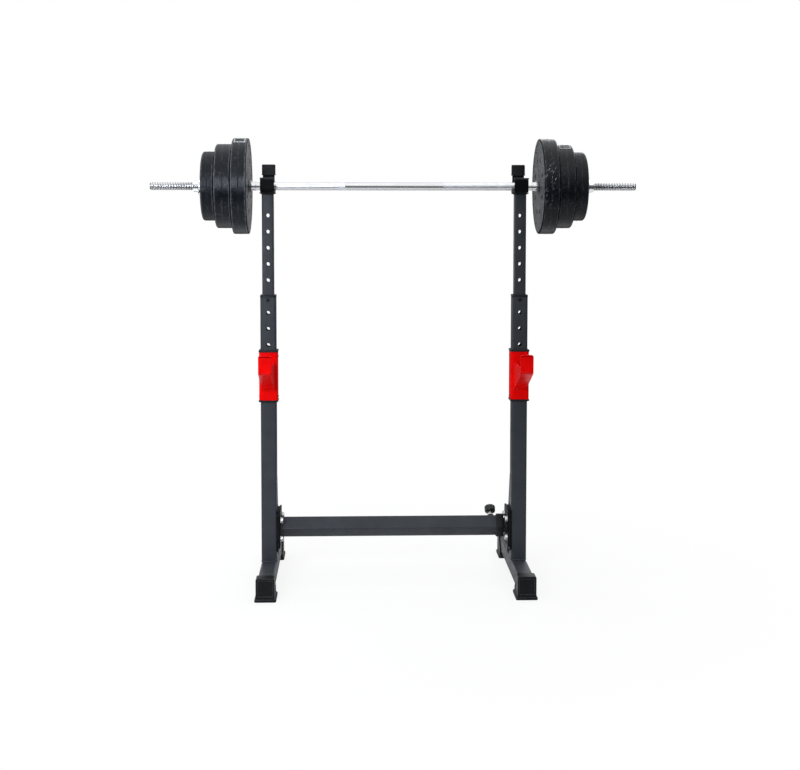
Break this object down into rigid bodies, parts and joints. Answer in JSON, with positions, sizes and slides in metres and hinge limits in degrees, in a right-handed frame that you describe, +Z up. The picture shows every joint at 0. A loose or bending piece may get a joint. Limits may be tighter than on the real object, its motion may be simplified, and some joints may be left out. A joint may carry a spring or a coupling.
{
  "type": "squat stand with barbell",
  "caption": "Adjustable squat rack: telescoping uprights with U hooks and sliding safety catches on floor tubes joined by a cross tube, holding a loaded spin lock barbell.",
  "frame": {"origin": "on the floor, at the middle of the footprint box", "axes": "+X along the bar to the right as seen from the front, -Y towards the side with the catches, +Z up"},
  "size_m": [1.5, 0.573, 1.3817],
  "materials": {
    "grey_powder_coat": "dark grey powder coat, fine orange peel",
    "red_gloss_paint": "gloss red paint",
    "black_plastic": "moulded black plastic, fine grain",
    "plate_shell": "pebbled dark plastic shell with light scuffs",
    "black_painted_steel": "black paint, satin",
    "bar_chrome": "bright chrome, knurled in places",
    "zinc_plate": "bright zinc plate"
  },
  "bodies": {
    "left_frame": {"left_base_tube": "grey_powder_coat", "left_front_foot": "black_plastic", "left_rear_foot": "black_plastic", "left_upright": "grey_powder_coat", "left_upright_bush": "black_plastic", "left_brace": "grey_powder_coat", "left_side_bracket": "black_painted_steel", "left_end_plate": "black_painted_steel", "cross_tube_outer": "grey_powder_coat", "cross_tube_collar": "black_plastic"},
    "right_frame": {"right_base_tube": "grey_powder_coat", "right_front_foot": "black_plastic", "right_rear_foot": "black_plastic", "right_upright": "grey_powder_coat", "right_upright_bush": "black_plastic", "right_brace": "grey_powder_coat", "right_side_bracket": "black_painted_steel", "right_end_plate": "black_painted_steel", "cross_tube_inner": "grey_powder_coat"},
    "width_pin_body": {"width_pin": "zinc_plate", "width_pin_knob": "black_plastic"},
    "left_post_body": {"left_post": "grey_powder_coat", "left_post_cap": "black_plastic", "left_hook": "black_painted_steel", "left_hook_pad": "black_plastic", "left_hook_cap": "black_plastic"},
    "left_height_pin_body": {"left_height_pin": "zinc_plate", "left_height_pin_knob": "black_plastic"},
    "left_catch": {"left_catch_sleeve": "red_gloss_paint", "left_catch_upper_bush": "black_plastic", "left_catch_lower_bush": "black_plastic", "left_catch_arm": "red_gloss_paint"},
    "left_catch_pin_body": {"left_catch_pin": "zinc_plate", "left_catch_pin_knob": "black_plastic"},
    "right_post_body": {"right_post": "grey_powder_coat", "right_post_cap": "black_plastic", "right_hook": "black_painted_steel", "right_hook_pad": "black_plastic", "right_hook_cap": "black_plastic"},
    "right_height_pin_body": {"right_height_pin": "zinc_plate", "right_height_pin_knob": "black_plastic"},
    "right_catch": {"right_catch_sleeve": "red_gloss_paint", "right_catch_upper_bush": "black_plastic", "right_catch_lower_bush": "black_plastic", "right_catch_arm": "red_gloss_paint"},
    "right_catch_pin_body": {"right_catch_pin": "zinc_plate", "right_catch_pin_knob": "black_plastic"},
    "barbell": {"bar": "bar_chrome", "left_bar_collar": "bar_chrome", "right_bar_collar": "bar_chrome"},
    "left_large_plate_body": {"left_large_plate": "plate_shell"},
    "left_medium_plate_body": {"left_medium_plate": "plate_shell"},
    "left_small_plate_body": {"left_small_plate": "plate_shell"},
    "left_star_nut_body": {"left_star_nut": "bar_chrome"},
    "right_large_plate_body": {"right_large_plate": "plate_shell"},
    "right_medium_plate_body": {"right_medium_plate": "plate_shell"},
    "right_small_plate_body": {"right_small_plate": "plate_shell"},
    "right_star_nut_body": {"right_star_nut": "bar_chrome"}
  },
  "joints": [
    {"name": "width_slide", "type": "slide", "parent": "left_frame", "child": "right_frame", "axis": [1, 0, 0], "range_m": [-0.008, 0.01]},
    {"name": "width_pin_pull", "type": "slide", "parent": "left_frame", "child": "width_pin_body", "axis": [0, 0.7071, 0.7071], "range_m": [0, 0.012], "stiffness_N_per_m": 1500, "springref_m": -0.01},
    {"name": "left_post_slide", "type": "slide", "parent": "left_frame", "child": "left_post_body", "axis": [0, 0, 1], "range_m": [-0.3, 0.2]},
    {"name": "left_height_pin_pull", "type": "slide", "parent": "left_frame", "child": "left_height_pin_body", "axis": [0, 1, 0], "range_m": [0, 0.012], "stiffness_N_per_m": 1500, "springref_m": -0.01},
    {"name": "left_catch_slide", "type": "slide", "parent": "left_frame", "child": "left_catch", "axis": [0, 0, 1], "range_m": [-0.05, 0.1]},
    {"name": "left_catch_pin_pull", "type": "slide", "parent": "left_catch", "child": "left_catch_pin_body", "axis": [0, 1, 0], "range_m": [0, 0.012], "stiffness_N_per_m": 1500, "springref_m": -0.01},
    {"name": "right_post_slide", "type": "slide", "parent": "right_frame", "child": "right_post_body", "axis": [0, 0, 1], "range_m": [-0.3, 0.2]},
    {"name": "right_height_pin_pull", "type": "slide", "parent": "right_frame", "child": "right_height_pin_body", "axis": [0, 1, 0], "range_m": [0, 0.012], "stiffness_N_per_m": 1500, "springref_m": -0.01},
    {"name": "right_catch_slide", "type": "slide", "parent": "right_frame", "child": "right_catch", "axis": [0, 0, 1], "range_m": [-0.05, 0.1]},
    {"name": "right_catch_pin_pull", "type": "slide", "parent": "right_catch", "child": "right_catch_pin_body", "axis": [0, 1, 0], "range_m": [0, 0.012], "stiffness_N_per_m": 1500, "springref_m": -0.01},
    {"name": "barbell_lift", "type": "slide", "parent": "left_post_body", "child": "barbell", "axis": [0, 0, 1], "range_m": [0, 0.15]},
    {"name": "left_large_plate_turn", "type": "hinge", "parent": "barbell", "child": "left_large_plate_body", "pos_m": [-0.471, -0.0505, 1.2347], "axis": [1, 0, 0], "continuous": true},
    {"name": "left_medium_plate_turn", "type": "hinge", "parent": "barbell", "child": "left_medium_plate_body", "pos_m": [-0.521, -0.0505, 1.2347], "axis": [1, 0, 0], "continuous": true},
    {"name": "left_small_plate_turn", "type": "hinge", "parent": "barbell", "child": "left_small_plate_body", "pos_m": [-0.568, -0.0505, 1.2347], "axis": [1, 0, 0], "continuous": true},
    {"name": "left_star_nut_turn", "type": "hinge", "parent": "barbell", "child": "left_star_nut_body", "pos_m": [-0.604, -0.0505, 1.2347], "axis": [1, 0, 0], "continuous": true},
    {"name": "right_large_plate_turn", "type": "hinge", "parent": "barbell", "child": "right_large_plate_body", "pos_m": [0.471, -0.0505, 1.2347], "axis": [1, 0, 0], "continuous": true},
    {"name": "right_medium_plate_turn", "type": "hinge", "parent": "barbell", "child": "right_medium_plate_body", "pos_m": [0.521, -0.0505, 1.2347], "axis": [1, 0, 0], "continuous": true},
    {"name": "right_small_plate_turn", "type": "hinge", "parent": "barbell", "child": "right_small_plate_body", "pos_m": [0.568, -0.0505, 1.2347], "axis": [1, 0, 0], "continuous": true},
    {"name": "right_star_nut_turn", "type": "hinge", "parent": "barbell", "child": "right_star_nut_body", "pos_m": [0.604, -0.0505, 1.2347], "axis": [1, 0, 0], "continuous": true}
  ],
  "couplings": [
    {"joint": "right_post_slide", "follows": "left_post_slide", "ratio": 1}
  ]
}
